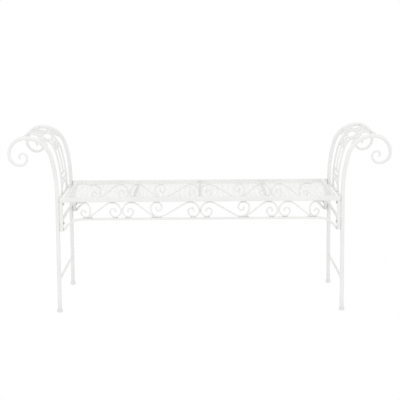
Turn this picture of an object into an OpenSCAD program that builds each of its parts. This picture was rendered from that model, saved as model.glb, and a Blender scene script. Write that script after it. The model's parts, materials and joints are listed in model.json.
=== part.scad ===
// Backless garden bench of bent steel tube with rolled arms, a mesh seat and scrollwork aprons.
// Origin: centre of the floor under the bench. +X to the right, -Y to the front, +Z up.

/* [Overall] */
// Distance between the centres of the left and right legs
leg_span = 1120; // [900:10:1400]
// Distance between the centres of the front and rear legs
leg_depth = 400; // [360:5:460]
// Height of the seat's top face above the floor
seat_height = 460; // [400:5:480]

/* [Legs and arms] */
// Outside diameter of the leg tube
leg_d = 16; // [14:0.5:20]
// Wall of the leg tube
leg_wall = 1.2; // [1:0.1:2]
// Height above the seat at which the leg starts to lean outwards
lean_start = 16; // [5:1:60]
// Bend radius of the long lean
lean_r = 530; // [400:10:700]
// Turn of the long lean, in degrees
lean_turn = 16; // [10:1:24]
// Bend radius of the shoulder, up to the top of the arm
shoulder_r = 103; // [90:1:120]
// Bend radius of the first quarter turn of the volute
volute_r = 65; // [50:1:75]
// Each quarter turn of the volute is this share of the one before
volute_ratio = 0.66; // [0.6:0.01:0.7]
// Quarter turns in the volute
volute_quarters = 5; // [3:1:5]
// Last part turn at the volute's tip, in degrees
volute_tip_turn = 60; // [30:5:85]
// Diameter of the volute at its tip
volute_tip_d = 7; // [5:0.5:10]

/* [Feet] */
// Outside diameter of a foot cap
cap_d = 23; // [20:0.5:28]
// Height of a foot cap
cap_h = 12; // [9:0.5:20]
// Thickness of a foot cap's sole
cap_sole = 3; // [2:0.5:5]

/* [End frames] */
// Diameter of the rail that joins two legs at seat height
side_rail_d = 12; // [10:0.5:14]
// Height of that rail's axis below the seat's top face
side_rail_drop = 12; // [8:1:20]
// Diameter of the lower rail and the stretcher of an end frame
stretcher_d = 10; // [8:0.5:12]
// Height of the lower rail's axis below the seat's top face
lower_rail_drop = 112; // [100:2:160]
// Height of the stretcher's axis
stretcher_z = 128; // [80:2:200]

/* [Arm panels] */
// Diameter of the two uprights of an arm panel
upright_d = 8; // [6:0.5:9]
// Distance between the axes of the two uprights
upright_span = 140; // [130:2:160]
// Diameter of the centre bar and the wishbone
centre_bar_d = 7; // [5:0.5:8]
// Height of the upper band above the seat
upper_band_rise = 70; // [60:1:90]
// Height of the lower band above the seat
lower_band_rise = 50; // [40:1:56]
// Height of a flat band
band_h = 9; // [5:0.5:10]
// Thickness of a flat band
band_t = 4; // [3:0.5:5]
// Diameter of the cross bar that joins the front and rear arm tubes
cross_bar_d = 10; // [8:0.5:12]
// How far the cross bar lies past the top of the arm, in degrees of the volute
cross_bar_turn = 14; // [8:1:20]
// Diameter of the bar that the arm's curls are bent from
curl_bar_d = 6; // [4:0.5:7]
// Bend radius where a curl leaves the centre of the panel
curl_neck_r = 34; // [28:1:36]
// Bend radius of a curl's inner half turn
curl_inner_r = 14; // [11:0.5:15]
// Bend radius of a curl's end
curl_eye_r = 8; // [6:0.5:9]
// Length of the centre bar above the upper band
centre_bar_l = 110; // [90:2:120]
// Distance along the arm from its top back to the middle of the outer scrolls
outer_scroll_back = 62; // [50:1:75]

/* [Seat tray] */
// Height of the seat tray's rails
rail_h = 18; // [14:1:24]
// Width of the seat tray's rails
rail_w = 16; // [12:1:20]
// Wall of the seat tray's tubes
rail_wall = 1.2; // [1:0.1:1.6]
// Distance from the leg's centre to the centre of the tray's end rail
end_rail_inset = 30; // [28:1:40]
// Number of mesh panels in the seat, which meet over its cross members
panels = 4; // [3:1:5]
// Width of a cross member of the seat
cross_member_w = 10; // [8:1:16]
// Height of a cross member of the seat
cross_member_h = 14; // [10:1:15]
// Diameter of a wire of the seat mesh
wire_d = 1.2; // [1:0.1:1.8]
// Distance between neighbouring wires
wire_pitch = 15; // [12:0.5:24]
// Angle of the wires to the front rail, in degrees
wire_angle = 45; // [35:1:55]

/* [Aprons] */
// Width of a square corner post
post_w = 12; // [10:0.5:14]
// Height of a corner post below the seat tray
post_h = 116; // [112:1:130]
// Diameter of the aprons' lower rails
apron_rail_d = 9.5; // [7:0.5:10]
// Distance from the seat tray down to the axis of the aprons' lower rails
apron_drop = 68; // [62:1:74]
// Bend radius of the lower rails' turned-down ends
end_bend_r = 82; // [70:1:90]
// Turn of the lower rails' ends, in degrees
end_bend_turn = 60; // [50:1:62]
// Diameter of the bar that the scrolls are bent from
scroll_bar_d = 6; // [4:0.5:7]
// Bend radius of an S-scroll's outer quarter turn
s_outer_r = 33; // [30:0.5:35]
// Bend radius of a C-scroll's outer quarter turn
c_outer_r = 34; // [31:0.5:36]
// Bend radius of the quarter turn inside a scroll's ring
scroll_inner_r = 20; // [17:0.5:21]
// Bend radius of the quarter turn after it
scroll_curl_r = 13; // [11:0.5:14]
// Bend radius of a scroll's end
scroll_eye_r = 9; // [7:0.5:10]
// Turn of a scroll's end, in degrees
scroll_eye_turn = 120; // [90:10:140]
// Slope of the straight in an S-scroll, in degrees
s_slope = 30; // [27:1:33]
// Bend radius at the ends of that straight
s_neck_r = 50; // [45:1:60]
// Slope of the straight in a C-scroll, in degrees
c_slope = 38; // [36:1:41]
// Bend radius at the top of that straight
c_neck_r = 45; // [35:1:50]
// Bend radius of an end scroll's first quarter turn
end_outer_r = 26; // [24:0.5:28]
// Bend radius of an end scroll's lower half turn
end_ring_r = 18; // [16:0.5:19]
// Straight lead at the top of an end scroll
end_scroll_lead = 20; // [8:1:24]

/* [Fasteners] */
// Thread diameter of the frame bolts
bolt_d = 6; // [5:0.5:8]
// Length of a bolt under its head
bolt_l = 20; // [18:1:22]
// Diameter of a bolt's head
bolt_head_d = 10.5; // [9:0.5:11]
// Height of a bolt's head
bolt_head_h = 4; // [3:0.5:5]
// Diameter of a washer
washer_d = 12; // [11:0.5:14]
// Thickness of a washer
washer_t = 1.2; // [0.8:0.1:1.6]
// Body diameter of a threaded insert in a leg
insert_d = 9; // [8.5:0.5:10]
// Length of a threaded insert inside a leg
insert_l = 9; // [7:0.5:10]
// Flange diameter of a threaded insert
insert_flange_d = 11; // [10.5:0.5:12]
// Flange thickness of a threaded insert
insert_flange_t = 0.8; // [0.6:0.1:1]
// Distance from the seat tray down to the upper bolts
upper_bolt_drop = 8; // [8:0.5:14]
// Distance from the seat tray down to the lower bolts
lower_bolt_drop = 84; // [82:1:86]

/* [Hidden] */
// Clearance between pieces that seat on each other
gap = 0.3;
// Clearance round a bolt in its hole
bolt_play = 0.2;
// The leg tube is this much thicker at the set collars where two bends meet
collar = 1.04;
// Length of a set collar
collar_l = 5;
// Turn between two rings of a swept bar
sweep_step = 18;
curl_step = 30;
tube_sides = 10;
rail_sides = 8;
bar_sides = 6;
$fn = 32;

leg_x = leg_span / 2;
leg_y = leg_depth / 2;
leg_r = leg_d / 2;
// Half the room between a front and a rear leg
between_y = leg_y - leg_r - gap;

// The arm, from the floor up: straight leg, long lean, shoulder, then the volute
straight_top = seat_height + lean_start;
arm_steps = [[straight_top - cap_sole, 0], [lean_r, -lean_turn], [shoulder_r, lean_turn - 90]];
volute_steps = concat(
    [for (q = [0:volute_quarters - 1]) [volute_r * pow(volute_ratio, q), -90]],
    [[volute_r * pow(volute_ratio, volute_quarters), -volute_tip_turn]]);
arm_and_volute = concat(arm_steps, volute_steps);

// Places along the arm, measured along its bent axis from the leg's foot
arm_top_at = path_length(arm_steps);
cross_bar_at = arm_top_at + arc_length(volute_r, cross_bar_turn);
upper_band_at = seat_height + upper_band_rise - cap_sole;
lower_band_at = seat_height + lower_band_rise - cap_sole;
centre_bar_from = upper_band_at + band_h / 2 + gap;
centre_bar_to = centre_bar_from + centre_bar_l;
side_rail_z = seat_height - side_rail_drop;
lower_rail_z = seat_height - lower_rail_drop;
upright_from = side_rail_z + side_rail_d / 2 + gap - cap_sole;
upright_to = cross_bar_at - cross_bar_d / 2 - gap;
upright_y = upright_span / 2;
upright_inner_y = upright_y - upright_d / 2 - gap;
curl_r = curl_bar_d / 2;
curl_outer_r = upright_inner_y - curl_bar_d - gap - curl_neck_r;

// The seat tray
rail_top = seat_height;
rail_bottom = seat_height - rail_h;
tray_end_x = leg_x - leg_r - insert_flange_t - gap / 3;
end_rail_x = leg_x - end_rail_inset;
rail_inner_y = leg_y - rail_w / 2;
seat_inner_x = end_rail_x - rail_w / 2;
panel_pitch = 2 * seat_inner_x / panels;
// Top of the cross members, under both layers of wire
member_top = rail_top - 2 * wire_d - 2 * gap / 3;

// The aprons
post_x = tray_end_x - post_w / 2;
post_inner_x = tray_end_x - post_w;
post_inner_y = leg_y - post_w / 2;
apron_z = rail_bottom - apron_drop;
end_tip_r = apron_rail_d / 2 * sin(end_bend_turn - sweep_step / 2) + gap;
scroll_r = scroll_bar_d / 2;
scroll_top = rail_bottom - gap - scroll_r;
scroll_bottom = apron_z + apron_rail_d / 2 + gap + scroll_r;
scroll_h = scroll_top - scroll_bottom;

// S-scroll: its straight is as long as the apron's height asks
s_straight = (scroll_h - 2 * s_neck_r * (1 - cos(s_slope))) / sin(s_slope);
s_half = [[scroll_eye_r, -scroll_eye_turn], [scroll_curl_r, -90], [scroll_inner_r, -90],
    [scroll_h - s_outer_r, -90], [s_outer_r, -90]];
s_steps = concat(s_half, [[s_neck_r, -s_slope], [s_straight, 0], [s_neck_r, s_slope]],
    [for (i = [4:-1:0]) [s_half[i][0], -s_half[i][1]]]);
s_top_x = scroll_r + gap / 2 + s_outer_r;
s_bottom_x = s_top_x + 2 * s_neck_r * sin(s_slope) + s_straight * cos(s_slope);

// C-scroll: its straight lies against the S-scroll's outer ring
c_neck_z = scroll_top - c_neck_r * (1 - cos(c_slope));
c_neck_x = s_bottom_x + (s_outer_r + scroll_bar_d + gap
    + cos(c_slope) * (c_neck_z - scroll_bottom - s_outer_r)) / sin(c_slope);
c_straight = (c_neck_z - scroll_bottom) / sin(c_slope);
c_top_x = c_neck_x + c_neck_r * sin(c_slope);
c_steps = [[c_straight, 0], [c_neck_r, -c_slope], [c_outer_r, -90], [scroll_h - c_outer_r, -90],
    [scroll_inner_r, -90], [scroll_curl_r, -90], [scroll_eye_r, -scroll_eye_turn]];
c_mirror_x = c_top_x + c_outer_r + scroll_r + gap / 2;

// End scroll: its lower left quarter lies against the mirrored C-scroll's straight
end_ring_x = 2 * c_mirror_x - c_neck_x + (end_ring_r + scroll_bar_d + gap
    + cos(c_slope) * (c_neck_z - scroll_bottom - end_ring_r)) / sin(c_slope);
end_scroll_x = end_ring_x - end_ring_r + end_outer_r;
end_scroll_steps = [[end_scroll_lead, 0], [end_outer_r, 90], [scroll_h - end_outer_r - end_ring_r, 0],
    [end_ring_r, 180], [scroll_eye_r, 180]];

// ---- Bent paths: each step is [radius, turn] for a bend or [length, 0] for a straight ----

function arc_length(r, turn) = r * abs(turn) * PI / 180;
function step_length(step) = step[1] == 0 ? step[0] : arc_length(step[0], step[1]);
function path_length(steps, i = 0) = i == len(steps) ? 0 : step_length(steps[i]) + path_length(steps, i + 1);

// Place and heading after a share of one step, from place p and heading h
function after(step, p, h, share = 1) =
    let (r = step[0], side = sign(step[1]), g = h + share * step[1])
    side == 0 ? [p + share * r * [cos(h), sin(h)], h] :
        [p + side * r * [sin(g) - sin(h), cos(h) - cos(g)], g];

// Place and heading at a distance along a path
function path_at(steps, distance, p = [0, 0], h = 0, i = 0) =
    let (l = step_length(steps[i]), e = after(steps[i], p, h))
    distance <= l || i == len(steps) - 1 ? after(steps[i], p, h, distance / l) :
        path_at(steps, distance - l, e[0], e[1], i + 1);

// Points along a path, a ring's turn apart on the bends
function path_points(steps, ring_turn, p = [0, 0], h = 0, i = 0) =
    i == len(steps) ? [p] :
    let (n = max(1, round(abs(steps[i][1]) / ring_turn)), e = after(steps[i], p, h))
    concat([for (j = [0:n - 1]) after(steps[i], p, h, j / n)[0]],
        path_points(steps, ring_turn, e[0], e[1], i + 1));

function unit(v) = v / norm(v);
function tangent(points, i) = unit(points[min(i + 1, len(points) - 1)] - points[max(i - 1, 0)]);

// ---- Bars ----

module set_collar(d) rotate([0, 90, 0]) cylinder(d = d * collar, h = collar_l, center = true);

// Round bar bent in one plane, starting at the origin along +X, with a set collar after each step
module bends(steps, d, i = 0) {
    if (i < len(steps)) {
        r = steps[i][0];
        turn = steps[i][1];
        if (turn == 0) {
            rotate([0, 90, 0]) cylinder(d = d, h = r);
            translate([r, 0, 0]) set_collar(d);
            translate([r, 0, 0]) bends(steps, d, i + 1);
        } else {
            translate([0, sign(turn) * r, 0]) {
                rotate([0, 0, turn > 0 ? -90 : 90 + turn])
                    rotate_extrude(angle = abs(turn)) translate([r, 0]) circle(d = d);
                rotate([0, 0, turn]) translate([0, -sign(turn) * r, 0]) {
                    set_collar(d);
                    bends(steps, d, i + 1);
                }
            }
        }
    }
}

// Bar swept along points in space; one normal and one diameter for each point
module swept_bar(points, normals, diameters, sides) {
    n = len(points);
    rings = [for (i = [0:n - 1]) let (t = tangent(points, i), b = cross(t, normals[i]))
        for (k = [0:sides - 1]) let (a = 360 * k / sides)
            points[i] + diameters[i] / 2 * (cos(a) * normals[i] + sin(a) * b)];
    walls = [for (i = [0:n - 2], k = [0:sides - 1]) let (m = (k + 1) % sides)
        [i * sides + k, (i + 1) * sides + k, (i + 1) * sides + m, i * sides + m]];
    caps = [[for (k = [0:sides - 1]) k], [for (k = [sides - 1:-1:0]) (n - 1) * sides + k]];
    polyhedron(points = rings, faces = concat(walls, caps));
}

// Bar swept along points in its own plane, tapering evenly from one diameter to the other
module flat_sweep(points, d1, d2, sides) {
    n = len(points);
    swept_bar(
        [for (p = points) [p[0], p[1], 0]],
        [for (i = [0:n - 1]) let (t = tangent(points, i)) [-t[1], t[0], 0]],
        [for (i = [0:n - 1]) d1 + (d2 - d1) * i / (n - 1)], sides);
}

// Thin bar bent in one plane from a heading, with the end of its step n placed at a point
module thin_bar_at(steps, d, sides, heading, n, point) {
    lead = [for (i = [0:1:n - 1]) steps[i]];
    start = n == 0 ? point : point - path_at(lead, path_length(lead), h = heading)[0];
    flat_sweep(path_points(steps, sweep_step, start, heading), d, d, sides);
}

// ---- Placing ----

// Turns +X into up and a right-hand bend into outwards, for the arm on the right
module in_arm_plane(y) translate([leg_x, y, cap_sole]) rotate([90, -90, 0]) children();

module on_side(side) {
    if (side > 0) children();
    else mirror([1, 0, 0]) children();
}

module both_y() {
    children();
    mirror([0, 1, 0]) children();
}

// Stands a flat scroll up in the front (-1) or rear (1) apron
module in_apron(side) translate([0, side * leg_y, 0]) rotate([90, 0, 0]) children();

// A flat scroll and its mate on the left
module with_mate() for (turn = [0, 180]) rotate([0, turn, 0]) children();

module tube(size, wall) difference() {
    cube(size, center = true);
    cube([for (i = [0:2]) size[i] == max(size) ? size[i] + 2 : size[i] - 2 * wall], center = true);
}

// ---- Legs ----

// The volute starts a little inside the collar at the top of the arm
volute_root = 1;
module volute() flat_sweep(
    path_points(concat([[volute_root, 0]], volute_steps), sweep_step, [-volute_root, 0]),
    leg_d, volute_tip_d, tube_sides);

arm_top = path_at(arm_steps, arm_top_at);
module leg(side, y) on_side(side) difference() {
    in_arm_plane(y) difference() {
        union() {
            bends(arm_steps, leg_d);
            translate([arm_top[0][0], arm_top[0][1], 0]) rotate([0, 0, arm_top[1]]) volute();
        }
        translate([-1, 0, 0]) rotate([0, 90, 0])
            cylinder(d = leg_d - 2 * leg_wall, h = arm_steps[0][0] - leg_r);
    }
    bolt_axes(y) cylinder(d = insert_d + bolt_play, h = leg_r);
}

// The bolt holes of one leg: +Z runs outwards from the inner face of the leg
module bolt_axes(y) for (drop = [upper_bolt_drop, lower_bolt_drop])
    translate([leg_x - leg_r - gap / 3, y, rail_bottom - drop]) rotate([0, 90, 0]) children();

module left_front_leg() color("white") leg(-1, -leg_y);
module left_rear_leg() color("white") leg(-1, leg_y);
module right_front_leg() color("white") leg(1, -leg_y);
module right_rear_leg() color("white") leg(1, leg_y);

module foot_caps() color("gainsboro") for (x = [-leg_x, leg_x], y = [-leg_y, leg_y])
    translate([x, y, 0]) difference() {
        cylinder(d = cap_d, h = cap_h);
        translate([0, 0, cap_sole]) cylinder(d = leg_d + gap, h = cap_h);
    }

// ---- End frames ----

module end_bar(side, d, z) translate([side * leg_x, 0, z])
    rotate([90, 0, 0]) cylinder(d = d, h = 2 * between_y, center = true);

module left_seat_side_rail() color("white") end_bar(-1, side_rail_d, side_rail_z);
module right_seat_side_rail() color("white") end_bar(1, side_rail_d, side_rail_z);
module left_lower_side_rail() color("white") end_bar(-1, stretcher_d, lower_rail_z);
module right_lower_side_rail() color("white") end_bar(1, stretcher_d, lower_rail_z);
module left_stretcher() color("white") end_bar(-1, stretcher_d, stretcher_z);
module right_stretcher() color("white") end_bar(1, stretcher_d, stretcher_z);

// ---- Arm panels ----

// Bar that lies on the arm's curve: its flat path runs along the arm in x and across it in y
module bar_on_arm(flat, d) {
    on_curve = [for (p = flat) path_at(arm_and_volute, p[0])];
    points = [for (i = [0:len(flat) - 1]) [on_curve[i][0][0], on_curve[i][0][1], flat[i][1]]];
    normals = [for (c = on_curve) [-sin(c[1]), cos(c[1]), 0]];
    swept_bar(points, normals, [for (p = flat) d], bar_sides);
}

// Bar bent in the arm's surface, from a start point with a start heading
module bent_on_arm(steps, d, start, heading) in_arm_plane(0)
    bar_on_arm(path_points(steps, curl_step, start, heading), d);

// Bar that follows the arm between two places along it
module bar_along_arm(y, d, from, to) in_arm_plane(y) {
    n = ceil((to - from) / (shoulder_r * sweep_step * PI / 180));
    flat_sweep([for (i = [0:n]) path_at(arm_and_volute, from + (to - from) * i / n)[0]], d, d, rail_sides);
}

module arm_uprights(side) on_side(side) for (y = [-upright_y, upright_y])
    bar_along_arm(y, upright_d, upright_from, upright_to);
module left_arm_uprights() color("white") arm_uprights(-1);
module right_arm_uprights() color("white") arm_uprights(1);

module arm_centre_bar(side) on_side(side)
    bar_along_arm(0, centre_bar_d, centre_bar_from, centre_bar_to);
module left_arm_centre_bar() color("white") arm_centre_bar(-1);
module right_arm_centre_bar() color("white") arm_centre_bar(1);

module arm_bands(side) on_side(side) for (at = [lower_band_at, upper_band_at]) {
    place = path_at(arm_steps, at);
    in_arm_plane(0) translate([place[0][0], place[0][1], 0]) rotate([0, 0, place[1]])
        cube([band_h, band_t, 2 * upright_inner_y], center = true);
}
module left_arm_bands() color("white") arm_bands(-1);
module right_arm_bands() color("white") arm_bands(1);

// Inverted V under the lower band, each foot lying against an upright
wishbone_turn = 75;
wishbone_neck_r = 14;
wishbone_reach = upright_inner_y - centre_bar_d - gap / 2;
wishbone_straight = (wishbone_reach - 2 * wishbone_neck_r * (1 - cos(wishbone_turn))) / sin(wishbone_turn);
module arm_wishbone(side) on_side(side) both_y()
    bent_on_arm([[wishbone_neck_r, wishbone_turn], [wishbone_straight, 0], [wishbone_neck_r, -wishbone_turn]],
        centre_bar_d, [lower_band_at - band_h / 2 - gap, -centre_bar_d / 2 - gap / 2], 180);
module left_arm_wishbone() color("white") arm_wishbone(-1);
module right_arm_wishbone() color("white") arm_wishbone(1);

// A pair of curls that leave the panel's centre and roll outwards against the uprights
module curls(side, start, heading, lead) {
    turn = heading == 0 ? 1 : -1;
    steps = [[lead, 0], [curl_neck_r, 90 * turn], [curl_outer_r, 180 * turn], [curl_inner_r, 180 * turn],
        [curl_eye_r, 90 * turn]];
    on_side(side) both_y() bent_on_arm(steps, curl_bar_d, [start, curl_r + gap / 2], heading);
}
lower_curl_from = centre_bar_to + centre_bar_d / 2 + 2 * gap;
lower_curl_lead = 1;
upper_curl_lead = 2 * curl_outer_r - curl_neck_r + 2;
module left_arm_lower_curls() color("white") curls(-1, lower_curl_from, 0, lower_curl_lead);
module right_arm_lower_curls() color("white") curls(1, lower_curl_from, 0, lower_curl_lead);
module left_arm_upper_curls() color("white") curls(-1, upright_to - curl_r, 180, upper_curl_lead);
module right_arm_upper_curls() color("white") curls(1, upright_to - curl_r, 180, upper_curl_lead);

// S-scrolls that lie across the arm between an upright and an arm tube
outer_scroll_room = between_y - upright_y - upright_d / 2;
outer_scroll_r = (outer_scroll_room - curl_bar_d - gap) / 4;
module arm_outer_scrolls(side) {
    half = [[curl_eye_r, 90], [curl_inner_r, 180], [outer_scroll_r, 180]];
    flat = path_points(concat(half, [for (i = [2:-1:0]) [half[i][0], -half[i][1]]]), curl_step, [0, 0], 0);
    middle = (flat[0] + flat[len(flat) - 1]) / 2;
    centre = [arm_top_at - outer_scroll_back, upright_y + upright_d / 2 + outer_scroll_room / 2];
    on_side(side) both_y() in_arm_plane(0)
        bar_on_arm([for (p = flat) centre + [-(p[1] - middle[1]), p[0] - middle[0]]], curl_bar_d);
}
module left_arm_outer_scrolls() color("white") arm_outer_scrolls(-1);
module right_arm_outer_scrolls() color("white") arm_outer_scrolls(1);

module arm_cross_bar(side) on_side(side) {
    place = path_at(arm_and_volute, cross_bar_at);
    in_arm_plane(0) translate([place[0][0], place[0][1], 0])
        cylinder(d = cross_bar_d, h = 2 * between_y, center = true);
}
module left_arm_cross_bar() color("white") arm_cross_bar(-1);
module right_arm_cross_bar() color("white") arm_cross_bar(1);

// ---- Seat tray ----

module long_rail(side) translate([0, side * leg_y, rail_top - rail_h / 2])
    tube([2 * tray_end_x, rail_w, rail_h], rail_wall);
module seat_front_rail() color("white") long_rail(-1);
module seat_rear_rail() color("white") long_rail(1);

module end_rail(side) translate([side * end_rail_x, 0, rail_top - rail_h / 2])
    tube([rail_w, 2 * rail_inner_y, rail_h], rail_wall);
module seat_left_rail() color("white") end_rail(-1);
module seat_right_rail() color("white") end_rail(1);

module seat_cross_members() color("white") for (i = [1:panels - 1])
    translate([-seat_inner_x + i * panel_pitch, 0, member_top - cross_member_h / 2])
        tube([cross_member_w, 2 * rail_inner_y, cross_member_h], rail_wall);

// One layer of parallel wires, cut to a rectangle with half sides a and b
module wires(angle, a, b) {
    d = [cos(angle), sin(angle)];
    reach = a * abs(d[1]) + b * abs(d[0]);
    count = floor(reach / wire_pitch);
    for (i = [-count:count]) {
        c = i * wire_pitch * [-d[1], d[0]];
        ends_x = [(-a - c[0]) / d[0], (a - c[0]) / d[0]];
        ends_y = [(-b - c[1]) / d[1], (b - c[1]) / d[1]];
        from = max(min(ends_x), min(ends_y));
        to = min(max(ends_x), max(ends_y));
        if (to - from > 4 * wire_d)
            translate([c[0] + from * d[0], c[1] + from * d[1], 0])
                rotate([0, 90, angle]) cylinder(d = wire_d, h = to - from);
    }
}

module seat_mesh(i) {
    a = (panel_pitch - wire_d - gap) / 2;
    b = rail_inner_y - wire_d / 2 - gap;
    translate([-seat_inner_x + (i - 0.5) * panel_pitch, 0, rail_top - wire_d / 2]) {
        wires(wire_angle, a, b);
        translate([0, 0, -wire_d - gap / 3]) wires(-wire_angle, a, b);
    }
}
module seat_mesh_1() color("white") seat_mesh(1);
module seat_mesh_2() color("white") seat_mesh(2);
module seat_mesh_3() color("white") seat_mesh(3);
module seat_mesh_4() color("white") seat_mesh(4);

// ---- Aprons ----

module corner_posts(y) for (side = [-1, 1]) on_side(side) difference() {
    translate([post_x, y, rail_bottom - post_h / 2]) cube([post_w, post_w, post_h], center = true);
    bolt_axes(y) translate([0, 0, -2 * post_w]) cylinder(d = bolt_d + 2 * bolt_play, h = 3 * post_w);
}
module front_corner_posts() color("white") corner_posts(-leg_y);
module rear_corner_posts() color("white") corner_posts(leg_y);

// Lower rail with turned-down ends; reach is half the distance between the posts it ends on
module apron_rail(reach) {
    bend_x = end_bend_r * sin(end_bend_turn);
    bend_z = end_bend_r * (1 - cos(end_bend_turn));
    half = reach - end_tip_r - bend_x;
    steps = [[end_bend_r, -end_bend_turn], [2 * half, 0], [end_bend_r, -end_bend_turn]];
    rotate([90, 0, 0])
        thin_bar_at(steps, apron_rail_d, rail_sides, end_bend_turn, 0, [-reach + end_tip_r, -bend_z]);
}
module front_apron_rail() color("white") translate([0, -leg_y, apron_z]) apron_rail(post_inner_x);
module rear_apron_rail() color("white") translate([0, leg_y, apron_z]) apron_rail(post_inner_x);
module end_apron_rail(side) translate([side * post_x, 0, apron_z])
    rotate([0, 0, 90]) apron_rail(post_inner_y);
module left_apron_rail() color("white") end_apron_rail(-1);
module right_apron_rail() color("white") end_apron_rail(1);

module s_scrolls(side) in_apron(side) with_mate()
    thin_bar_at(s_steps, scroll_bar_d, bar_sides, scroll_eye_turn, 5, [s_top_x, scroll_top]);
module front_s_scrolls() color("white") s_scrolls(-1);
module rear_s_scrolls() color("white") s_scrolls(1);

module c_scroll() thin_bar_at(c_steps, scroll_bar_d, bar_sides, c_slope, 2, [c_top_x, scroll_top]);
module front_c_scrolls() color("white") in_apron(-1) with_mate() c_scroll();
module rear_c_scrolls() color("white") in_apron(1) with_mate() c_scroll();

module wave_scrolls(side) in_apron(side) with_mate()
    translate([2 * c_mirror_x, 0, 0]) rotate([0, 180, 0]) c_scroll();
module front_wave_scrolls() color("white") wave_scrolls(-1);
module rear_wave_scrolls() color("white") wave_scrolls(1);

module end_scrolls(side) in_apron(side) with_mate()
    thin_bar_at(end_scroll_steps, scroll_bar_d, bar_sides, 180, 1, [end_scroll_x, scroll_top]);
module front_end_scrolls() color("white") end_scrolls(-1);
module rear_end_scrolls() color("white") end_scrolls(1);

// ---- Fasteners ----

module at_bolts() for (side = [-1, 1], y = [-leg_y, leg_y]) on_side(side) bolt_axes(y) children();

// Depth of the post's inner face, seen from the bolt axes' origin
post_face = -(leg_x - leg_r - gap / 3 - post_inner_x);

module frame_bolts() color("silver") at_bolts() translate([0, 0, post_face - washer_t - gap / 3]) {
    cylinder(d = bolt_d, h = bolt_l);
    difference() {
        translate([0, 0, -bolt_head_h]) cylinder(d1 = bolt_head_d - 2, d2 = bolt_head_d, h = bolt_head_h);
        translate([0, 0, -bolt_head_h - 1]) cylinder(d = bolt_d * 0.75, h = bolt_head_h * 0.75, $fn = 6);
    }
}

module frame_washers() color("silver") at_bolts() translate([0, 0, post_face - washer_t]) difference() {
    cylinder(d = washer_d, h = washer_t);
    translate([0, 0, -1]) cylinder(d = bolt_d + 2 * bolt_play, h = washer_t + 2);
}

module leg_inserts() color("silver") at_bolts() difference() {
    union() {
        translate([0, 0, -insert_flange_t]) cylinder(d = insert_flange_d, h = insert_flange_t);
        cylinder(d = insert_d, h = insert_l);
    }
    translate([0, 0, -2]) cylinder(d = bolt_d + bolt_play, h = insert_l + 4);
}

left_front_leg();
left_rear_leg();
right_front_leg();
right_rear_leg();
foot_caps();
left_seat_side_rail();
right_seat_side_rail();
left_lower_side_rail();
right_lower_side_rail();
left_stretcher();
right_stretcher();
left_arm_uprights();
right_arm_uprights();
left_arm_centre_bar();
right_arm_centre_bar();
left_arm_bands();
right_arm_bands();
left_arm_wishbone();
right_arm_wishbone();
left_arm_lower_curls();
right_arm_lower_curls();
left_arm_upper_curls();
right_arm_upper_curls();
left_arm_outer_scrolls();
right_arm_outer_scrolls();
left_arm_cross_bar();
right_arm_cross_bar();
seat_front_rail();
seat_rear_rail();
seat_left_rail();
seat_right_rail();
seat_cross_members();
seat_mesh_1();
seat_mesh_2();
seat_mesh_3();
seat_mesh_4();
front_corner_posts();
rear_corner_posts();
front_apron_rail();
rear_apron_rail();
left_apron_rail();
right_apron_rail();
front_s_scrolls();
rear_s_scrolls();
front_c_scrolls();
rear_c_scrolls();
front_wave_scrolls();
rear_wave_scrolls();
front_end_scrolls();
rear_end_scrolls();
frame_bolts();
frame_washers();
leg_inserts();
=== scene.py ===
import json
import logging
import math
from dataclasses import dataclass
from enum import Enum
from typing import Iterable, Sequence

import bmesh
import bpy
from mathutils import Matrix, Vector


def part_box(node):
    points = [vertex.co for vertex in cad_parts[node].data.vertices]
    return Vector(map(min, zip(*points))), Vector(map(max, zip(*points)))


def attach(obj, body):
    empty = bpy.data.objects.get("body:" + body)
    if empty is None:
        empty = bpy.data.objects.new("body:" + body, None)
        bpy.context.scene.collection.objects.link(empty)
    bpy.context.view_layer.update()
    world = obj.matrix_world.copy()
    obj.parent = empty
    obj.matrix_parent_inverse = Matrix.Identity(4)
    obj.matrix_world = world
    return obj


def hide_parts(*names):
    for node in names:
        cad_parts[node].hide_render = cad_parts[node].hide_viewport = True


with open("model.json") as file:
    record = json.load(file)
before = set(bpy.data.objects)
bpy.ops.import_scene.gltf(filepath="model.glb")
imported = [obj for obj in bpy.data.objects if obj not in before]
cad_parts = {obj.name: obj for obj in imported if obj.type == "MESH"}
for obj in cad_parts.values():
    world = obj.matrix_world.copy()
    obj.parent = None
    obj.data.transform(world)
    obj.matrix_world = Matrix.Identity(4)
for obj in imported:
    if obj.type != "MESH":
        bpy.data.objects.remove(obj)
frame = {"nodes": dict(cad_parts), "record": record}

LOG = logging.getLogger("bench")
ROOT = "root"
MM = 0.001
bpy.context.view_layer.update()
# the seat's four edges, as they stand in the names of CAD nodes
EDGES = ("front", "rear", "left", "right")
WHITE = (1.0, 1.0, 1.0, 1.0)
# faces that meet at less than this angle are shaded as one surface
SMOOTH_ANGLE = math.radians(40)
# rings of a bar's domed tip, in degrees from its rim, and the dome's height in bar radii
DOME_ANGLES = (25, 50, 72)
DOME_RISE = 0.6


class Half(Enum):
    """Half of the bench, as the sign of its X or Y."""

    @property
    def word(self) -> str:
        """Word for the half, as it stands in piece names."""
        return self.name.lower()


class Side(Half):
    """The two ends of the bench, as the sign of their X."""

    LEFT = -1
    RIGHT = 1


class Row(Half):
    """The front and rear of the bench, as the sign of their Y."""

    FRONT = -1
    REAR = 1


class Finish(Enum):
    """Finishes of the bench, each with the record's material slot that it belongs to."""

    PAINT = ("paint", "white_paint")
    # greyer coat of the weld beads: painted shade for the crevices where bars lie against rails, posts, legs
    # and each other
    WELD = ("weld", "white_paint")
    MESH = ("mesh", "mesh_paint")
    FOOT = ("foot", "foot_plastic")
    BOLT = ("bolt", "bolt_metal")

    @property
    def slot(self) -> str:
        """Material slot of the finish."""
        return self.value[1]


# ---- Finishes ----


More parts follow.
